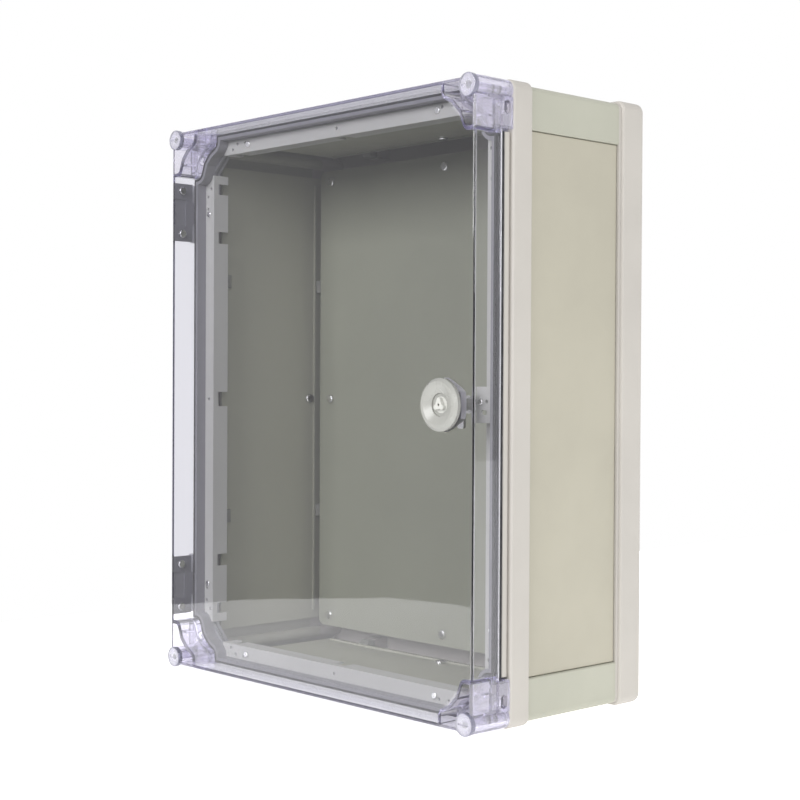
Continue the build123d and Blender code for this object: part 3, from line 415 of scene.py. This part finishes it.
def cap_plastic():
    """Clear corner screws: milky in the middle of their caps, with painted shade as a darker,
    less clear outline round the rim.
    """
    material, tree, shader = new_material("clear_screw_plastic")
    links = tree.links
    across, along, up = places(tree)
    side = maths(tree, "SUBTRACT", across, SCREW_X)
    above = maths(tree, "SUBTRACT", up, SCREW_Z)
    square = maths(tree, "ADD", product(tree, side, side), product(tree, above, above))
    radius = maths(tree, "SQRT", square)
    front = spread(tree, along, 1.0, 0.0, CAP_FRONT, CAP_FRONT + CAP_FRONT_BLEND)
    middle = product(tree, spread(tree, radius, 1.0, 0.0, CAP_MIDDLE, CAP_RIM), front)
    # Painted shade: a dark, less clear outline round the cap's rim.
    rim = spread(tree, radius, 0.0, 1.0, CAP_RIM, CAP_RIM + CAP_RIM_BLEND)
    cloud = noise(tree, *CAP_CLOUDS)
    skin = tint(tree, cloud, CAP_DARK, CAP_LIGHT)
    links.new(blend(tree, rim, skin, CAP_RIM_PAINTED_SHADE), shader.inputs["Base Color"])
    clear = spread(tree, cloud, *CAP_CLEAR)
    clear = maths(tree, "SUBTRACT", clear, maths(tree, "MULTIPLY", middle, CAP_MILK))
    clear = maths(tree, "SUBTRACT", clear, maths(tree, "MULTIPLY", rim, CAP_SHADED_RIM_MILK))
    links.new(clear, shader.inputs["Transmission Weight"])
    shader.inputs["IOR"].default_value = CLEAR_IOR
    smears = noise(tree, *CAP_SMEARS)
    links.new(spread(tree, smears, *CAP_ROUGHNESS), shader.inputs["Roughness"])
    bump(tree, shader, [CAP_LAYER])
    glassy(tree, shader, CAP_DENSITY)
    return material


def rubber():
    """Matt black seal with a fine open-cell surface."""
    material, tree, shader = new_material("seal_rubber_look")
    colour = tint(tree, noise(tree, *RUBBER_CLOUDS), RUBBER_DARK, RUBBER_LIGHT)
    tree.links.new(colour, shader.inputs["Base Color"])
    rough = spread(tree, noise(tree, *RUBBER_PATCHES), *RUBBER_ROUGHNESS)
    tree.links.new(rough, shader.inputs["Roughness"])
    bump(tree, shader, [FOAM_LAYER])
    return material


def plated(name, colour, roughness):
    """Zinc-plated steel with fine rolling marks and cloudy plating."""
    material, tree, shader = new_material(name)
    cloud = noise(tree, *PLATING_CLOUDS)
    dark, light = (shade(colour, factor) for factor in PLATING_SHADES)
    skin = tint(tree, cloud, dark, light)
    tree.links.new(skin, shader.inputs["Base Color"])
    shader.inputs["Metallic"].default_value = 1.0
    marks = noise(tree, *ROLLING_LAYER[:2])
    smoothest, roughest = (roughness + swing for swing in PLATED_SWING)
    rough = spread(tree, marks, smoothest, roughest)
    tree.links.new(rough, shader.inputs["Roughness"])
    bump(tree, shader, [ROLLING_LAYER], SHEET_EDGE)
    return material


def painted(name, colour):
    """Powder-coated sheet steel: orange peel, faint clouding and soft edges."""
    material, tree, shader = new_material(name)
    cloud = noise(tree, *PAINT_CLOUDS)
    dark, light = (shade(colour, factor) for factor in PAINT_SHADES)
    skin = tint(tree, cloud, dark, light)
    tree.links.new(skin, shader.inputs["Base Color"])
    rough = spread(tree, noise(tree, *PAINT_PATCHES), *PAINT_ROUGHNESS)
    tree.links.new(rough, shader.inputs["Roughness"])
    bump(tree, shader, [ORANGE_PEEL_LAYER, POWDER_LAYER], SHEET_EDGE)
    return material


def give(material, *names):
    """Put a material on CAD nodes."""
    for name in names:
        data = NODES[name].data
        data.materials.clear()
        data.materials.append(material)


def each(prefix, ends):
    """Names of like nodes, one for each end."""
    return [prefix + end for end in ends]


def dress():
    """Materials of all CAD nodes."""
    # Front frame: painted shade on the faces that look into the box.
    frame_painted_shade_look = moulded("frame_plastic_painted_shade_look", BODY, painted_inside=FRAME_PAINTED_SHADE, within=FRAME_WITHIN)
    # Flange plates: painted light on the faces that look into the box.
    panel_painted_light_look = moulded("panel_plastic_painted_light_look", PANEL, painted_inside=PANEL_PAINTED_LIGHT, within=PANEL_WITHIN)
    give(moulded("body_plastic_look", BODY), "rear_tray")
    give(frame_painted_shade_look, "front_frame")
    give(moulded("post_plastic_look", POST), *each("corner_post_", CORNERS))
    give(panel_painted_light_look, *each("flange_plate_", SIDES))
    give(moulded("clip_plastic_look", CLIP), "flange_clips")
    give(clear_plastic(), "cover")
    give(cap_plastic(), *each("corner_screw_", CORNERS))
    seals = each("flange_gasket_", SIDES) + each("corner_seals_", CORNERS)
    give(rubber(), "cover_gasket", "collar_seal", "lock_gasket", *seals)
    give(painted("plate_paint_look", PLATE_PAINT), "mounting_plate")
    give(painted("rail_paint_look", RAIL_PAINT), *each("rail_", SIDES), "strike_bracket")
    screws = ["flange_screws", "frame_screws", "plate_screws", "rail_screws", "strike_screw"]
    steel = ["cam_screw", "lock_cam", "hinge_pin_upper", "hinge_pin_lower"]
    give(plated("screw_steel_look", ZINC, ZINC_ROUGHNESS), *screws, *steel)
    leaf_screw_look = plated("leaf_screw_look", LEAF_SCREW, LEAF_SCREW_ROUGHNESS)
    give(leaf_screw_look, "cover_leaf_screws", "base_leaf_screws")
    for name, node, colour, roughness, edge in (
        ("lock_plastic_look", "lock_housing", LOCK_HOUSING, LOCK_ROUGHNESS, HOUSING_EDGE),
        ("core_plastic_look", "lock_core", LOCK_CORE, LOCK_ROUGHNESS, CORE_EDGE),
        ("nut_plastic_look", "lock_nut", LOCK_NUT, NUT_ROUGHNESS, NUT_EDGE),
    ):
        give(moulded(name, colour, roughness, edge, FINE_GRAIN_LAYER, FINE_MOTTLE), node)
    leaves = each("cover_hinge_leaf_", HINGES) + each("base_hinge_leaf_", HINGES)
    give(moulded("hinge_plastic_look", HINGE, HINGE_ROUGHNESS), *leaves)


def area_light(name, place, aim, size, power):
    """Soft rectangular lamp."""
    data = bpy.data.lights.new(name, "AREA")
    data.shape = "RECTANGLE"
    data.size, data.size_y = size
    data.energy = power
    lamp = bpy.data.objects.new(name, data)
    direction = Vector(aim) - Vector(place)
    lamp.rotation_euler = direction.to_track_quat("-Z", "Y").to_euler()
    lamp.location = place
    bpy.context.scene.collection.objects.link(lamp)


def add_world():
    """Even studio surroundings: white behind the object, grey in front of it."""
    world = bpy.data.worlds.new("studio")
    world.use_nodes = True
    tree = world.node_tree
    place = tree.nodes.new("ShaderNodeTexCoord")
    split = tree.nodes.new("ShaderNodeSeparateXYZ")
    tree.links.new(place.outputs["Generated"], split.inputs["Vector"])
    depth = spread(tree, split.outputs["Y"], 0.0, 1.0, -1.0, 1.0)
    ramp = tree.nodes.new("ShaderNodeValToRGB")
    front, back = ramp.color_ramp.elements
    front.position, back.position = WORLD_REACH
    front.color = (*WORLD_FRONT, 1)
    back.color = (*WORLD_BACK, 1)
    tree.links.new(depth, ramp.inputs["Fac"])
    tree.links.new(ramp.outputs["Color"], tree.nodes["Background"].inputs["Color"])
    bpy.context.scene.world = world


def add_floor():
    """Pale floor with a rounded front edge, which the cover reflects."""
    height = cad_box[0][2] - FLOOR_GAP
    points = [(x, y, height) for x, y in FLOOR_OUTLINE]
    mesh = bpy.data.meshes.new("studio_floor")
    mesh.from_pydata(points, [], [tuple(range(len(points)))])
    floor = bpy.data.objects.new("studio_floor", mesh)
    bpy.context.scene.collection.objects.link(floor)
    material, tree, shader = new_material("floor_paper")
    skin = tint(tree, noise(tree, *FLOOR_CLOUDS), FLOOR_DARK, FLOOR_LIGHT)
    tree.links.new(skin, shader.inputs["Base Color"])
    shader.inputs["Roughness"].default_value = FLOOR_ROUGHNESS
    shader.inputs["Emission Color"].default_value = (1.0, 1.0, 1.0, 1)
    shader.inputs["Emission Strength"].default_value = FLOOR_GLOW
    mesh.materials.append(material)


def set_light_paths():
    """Bounces for thick clear corners; light enters the box as shadow rays alone."""
    cycles = bpy.context.scene.cycles
    cycles.max_bounces = DEEP_BOUNCES
    cycles.transmission_bounces = DEEP_BOUNCES
    cycles.transparent_max_bounces = DEEP_BOUNCES
    cycles.glossy_bounces = GLOSSY_BOUNCES
    cycles.caustics_refractive = False
    cycles.caustics_reflective = False


add_camera()
dress()
add_world()
add_floor()
area_light("key", *KEY_LAMP)
area_light("front", *FRONT_LAMP)
bpy.context.scene.view_settings.view_transform = "Standard"
set_light_paths()
